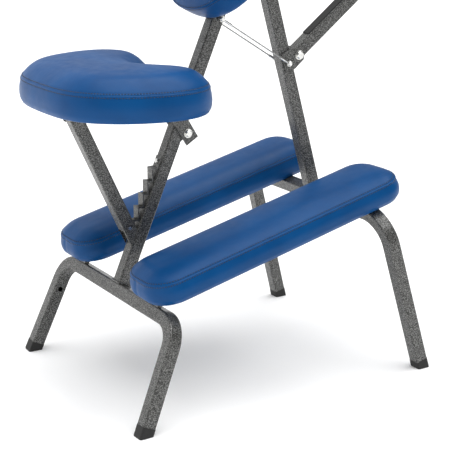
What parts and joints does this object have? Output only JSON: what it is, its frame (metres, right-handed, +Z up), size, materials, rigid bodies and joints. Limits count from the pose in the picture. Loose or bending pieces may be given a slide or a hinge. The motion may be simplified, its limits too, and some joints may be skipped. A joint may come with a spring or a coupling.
{
  "type": "kneeling massage chair",
  "caption": "Folding kneeling massage chair on a leaning square-tube frame, with padded seat, shin rests, chest pad, armrest and open face cradle.",
  "frame": {"origin": "on the floor, at the middle of the whole chair's length and width", "axes": "+Z up, +X towards the face cradle and armrest, the way the sitter faces, +Y to the sitter's left"},
  "size_m": [0.8656, 0.5124, 1.2698],
  "materials": {
    "powder_coat": "hammered dark grey powder coat, half gloss",
    "zinc_steel": "bright zinc plate",
    "rack_steel": "bent strip, plated and dulled",
    "black_rubber": "matt moulded rubber",
    "black_plastic": "moulded, fine grain",
    "pad_board": "plywood covered with black backing cloth",
    "blue_vinyl": "smooth leatherette, soft sheen"
  },
  "bodies": {
    "rear_frame": {"rear_leg_frame": "powder_coat", "rear_post": "powder_coat", "rear_post_plug": "black_plastic", "rear_foot_caps": "black_rubber", "frame_hinge_plates": "powder_coat", "frame_hinge_bolt": "zinc_steel", "seat_rack": "rack_steel", "rack_screw": "zinc_steel", "seat_pivot_lug": "powder_coat", "shin_hinge_knuckles": "powder_coat", "shin_hinge_pins": "zinc_steel", "cable_bolt_rear": "zinc_steel", "cable_eyes_rear": "zinc_steel", "limit_cable_left": "zinc_steel", "limit_cable_right": "zinc_steel"},
    "front_frame": {"front_leg_frame": "powder_coat", "front_post": "powder_coat", "front_post_plug": "black_plastic", "front_foot_caps": "black_rubber", "shin_rests": "black_rubber", "cable_bolt_front": "zinc_steel", "cable_eyes_front": "zinc_steel", "arm_lug_plates": "powder_coat", "arm_pivot_bolt": "zinc_steel"},
    "shin_pad_left": {"shin_board_left": "pad_board", "shin_cushion_left": "blue_vinyl", "shin_hinge_leaf_left": "powder_coat"},
    "shin_pad_right": {"shin_board_right": "pad_board", "shin_cushion_right": "blue_vinyl", "shin_hinge_leaf_right": "powder_coat"},
    "seat": {"seat_cushion": "blue_vinyl", "seat_board": "pad_board", "seat_bracket": "powder_coat", "seat_rear_bracket": "powder_coat", "seat_screws": "zinc_steel", "seat_pivot_bolt": "zinc_steel", "strut_pivot_bolt": "zinc_steel"},
    "strut": {"seat_strut": "powder_coat", "strut_pawl_pin": "zinc_steel"},
    "arm": {"arm_tube": "powder_coat", "arm_buffer_strip": "black_rubber"},
    "armrest": {"armrest_bracket": "powder_coat", "armrest_board": "pad_board", "armrest_cushion": "blue_vinyl", "armrest_pin": "zinc_steel"},
    "armrest_clamp": {"armrest_knob": "black_plastic"},
    "chest_pad": {"chest_bracket": "powder_coat", "chest_board": "pad_board", "chest_cushion": "blue_vinyl"},
    "chest_clamp": {"chest_knob": "black_plastic"},
    "stem": {"cradle_stem": "powder_coat", "cradle_hinge_ears": "powder_coat", "cradle_tilt_bolt": "zinc_steel"},
    "stem_clamp": {"stem_knob": "black_plastic"},
    "cradle": {"cradle_tongue": "black_plastic", "cradle_board": "pad_board", "cradle_cushion": "blue_vinyl"},
    "tilt_clamp": {"cradle_lever": "black_plastic"}
  },
  "joints": [
    {"name": "frame_fold", "type": "hinge", "parent": "rear_frame", "child": "front_frame", "pos_m": [0.01205, 0, 0.77711], "axis": [0, 1, 0], "range_deg": [0, 36.5], "deforming": ["limit_cable_left", "limit_cable_right"]},
    {"name": "shin_left_fold", "type": "hinge", "parent": "rear_frame", "child": "shin_pad_left", "pos_m": [-0.29071, 0, 0.20499], "axis": [0, -1, 0], "range_deg": [0, 35.5]},
    {"name": "shin_right_fold", "type": "hinge", "parent": "rear_frame", "child": "shin_pad_right", "pos_m": [-0.29071, 0, 0.20499], "axis": [0, -1, 0], "range_deg": [0, 35.5]},
    {"name": "seat_tilt", "type": "hinge", "parent": "rear_frame", "child": "seat", "pos_m": [-0.14854, 0, 0.45953], "axis": [0, 1, 0], "range_deg": [0, 20]},
    {"name": "strut_swing", "type": "hinge", "parent": "seat", "child": "strut", "pos_m": [-0.36795, 0, 0.51], "axis": [0, 1, 0], "range_deg": [-20, 0]},
    {"name": "arm_lift", "type": "hinge", "parent": "front_frame", "child": "arm", "pos_m": [0.09503, 0, 0.58362], "axis": [0, 1, 0], "range_deg": [-10, 30]},
    {"name": "armrest_tilt", "type": "hinge", "parent": "arm", "child": "armrest", "pos_m": [0.3498, 0, 0.78054], "axis": [0, 1, 0], "range_deg": [-20, 20]},
    {"name": "armrest_knob_turn", "type": "hinge", "parent": "armrest", "child": "armrest_clamp", "pos_m": [0.3498, 0, 0.78054], "axis": [0, 1, 0], "continuous": true},
    {"name": "chest_slide", "type": "slide", "parent": "rear_frame", "child": "chest_pad", "axis": [0.3952, 0, 0.9186], "range_m": [0, 0.04]},
    {"name": "chest_knob_turn", "type": "hinge", "parent": "chest_pad", "child": "chest_clamp", "pos_m": [0.00993, 0, 0.86707], "axis": [0, 1, 0], "continuous": true},
    {"name": "stem_slide", "type": "slide", "parent": "rear_frame", "child": "stem", "axis": [0.3952, 0, 0.9186], "range_m": [-0.015, 0.06]},
    {"name": "stem_knob_turn", "type": "hinge", "parent": "rear_frame", "child": "stem_clamp", "pos_m": [0.05091, 0, 0.92891], "axis": [0.9186, 0, -0.3952], "continuous": true},
    {"name": "cradle_tilt", "type": "hinge", "parent": "stem", "child": "cradle", "pos_m": [0.0772, 0, 1.02973], "axis": [0, 1, 0], "range_deg": [-25, 25]},
    {"name": "cradle_lever_turn", "type": "hinge", "parent": "stem", "child": "tilt_clamp", "pos_m": [0.0772, 0, 1.02973], "axis": [0, 1, 0], "range_deg": [0, 60]}
  ],
  "couplings": [
    {"joint": "shin_left_fold", "follows": "frame_fold", "ratio": 0.97},
    {"joint": "shin_right_fold", "follows": "frame_fold", "ratio": 0.97},
    {"joint": "strut_swing", "follows": "seat_tilt", "ratio": -1}
  ]
}
